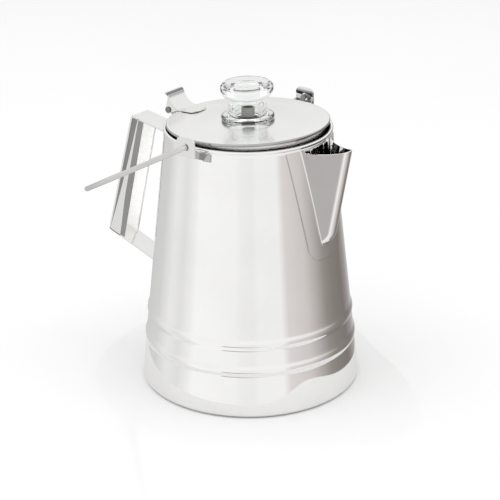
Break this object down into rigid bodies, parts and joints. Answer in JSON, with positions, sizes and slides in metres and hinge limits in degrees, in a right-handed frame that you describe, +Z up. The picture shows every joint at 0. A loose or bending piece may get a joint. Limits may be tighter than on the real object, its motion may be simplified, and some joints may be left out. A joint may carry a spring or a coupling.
{
  "type": "coffee percolator",
  "caption": "Steel camping percolator with welded spout, strap handle, swinging bail, hinged lid with glass knob, and a lift-out tube and basket.",
  "frame": {"origin": "centre of the flat base, on the surface that the pot stands on", "axes": "+Z up through the glass knob, +X towards the spout, -X towards the strap handle; the bail turns about an axis along Y"},
  "size_m": [0.2162, 0.1596, 0.223],
  "materials": {
    "polished_steel": "mirror-polished stainless steel",
    "satin_steel": "satin stainless steel",
    "wire_steel": "drawn stainless wire, dull polish",
    "clear_glass": "clear pressed glass"
  },
  "bodies": {
    "pot_frame": {"pot_body": "polished_steel", "base_plate": "polished_steel", "spout": "polished_steel", "bail_ear_left": "polished_steel", "bail_ear_right": "polished_steel", "handle_grip": "polished_steel", "handle_upper_arm": "polished_steel", "handle_lower_arm": "polished_steel", "hinge_bracket": "satin_steel", "hinge_pin": "satin_steel"},
    "lid_group": {"lid": "satin_steel", "lid_skirt": "satin_steel", "thumb_lever": "satin_steel"},
    "knob_group": {"glass_knob": "clear_glass"},
    "bail_group": {"bail": "wire_steel"},
    "pump_group": {"pump_base": "satin_steel", "pump_tube": "satin_steel", "basket_stop": "satin_steel"},
    "basket_group": {"basket": "satin_steel", "basket_sleeve": "satin_steel"},
    "spreader_group": {"spreader_plate": "satin_steel"}
  },
  "joints": [
    {"name": "lid_hinge", "type": "hinge", "parent": "pot_frame", "child": "lid_group", "pos_m": [-0.065, 0, 0.1926], "axis": [0, -1, 0], "range_deg": [-2, 105]},
    {"name": "knob_turn", "type": "hinge", "parent": "lid_group", "child": "knob_group", "pos_m": [-0.00007, 0, 0.19567], "axis": [-0.0349, 0, 0.9994], "range_deg": [0, 60]},
    {"name": "bail_swing", "type": "hinge", "parent": "pot_frame", "child": "bail_group", "pos_m": [0, 0, 0.194], "axis": [0, 1, 0], "range_deg": [-3.5, 258]},
    {"name": "insert_lift", "type": "slide", "parent": "pot_frame", "child": "pump_group", "axis": [0, 0, 1], "range_m": [0, 0.005]},
    {"name": "basket_lift", "type": "slide", "parent": "pump_group", "child": "basket_group", "axis": [0, 0, 1], "range_m": [0, 0.005]},
    {"name": "spreader_lift", "type": "slide", "parent": "basket_group", "child": "spreader_group", "axis": [0, 0, 1], "range_m": [0, 0.003]}
  ]
}
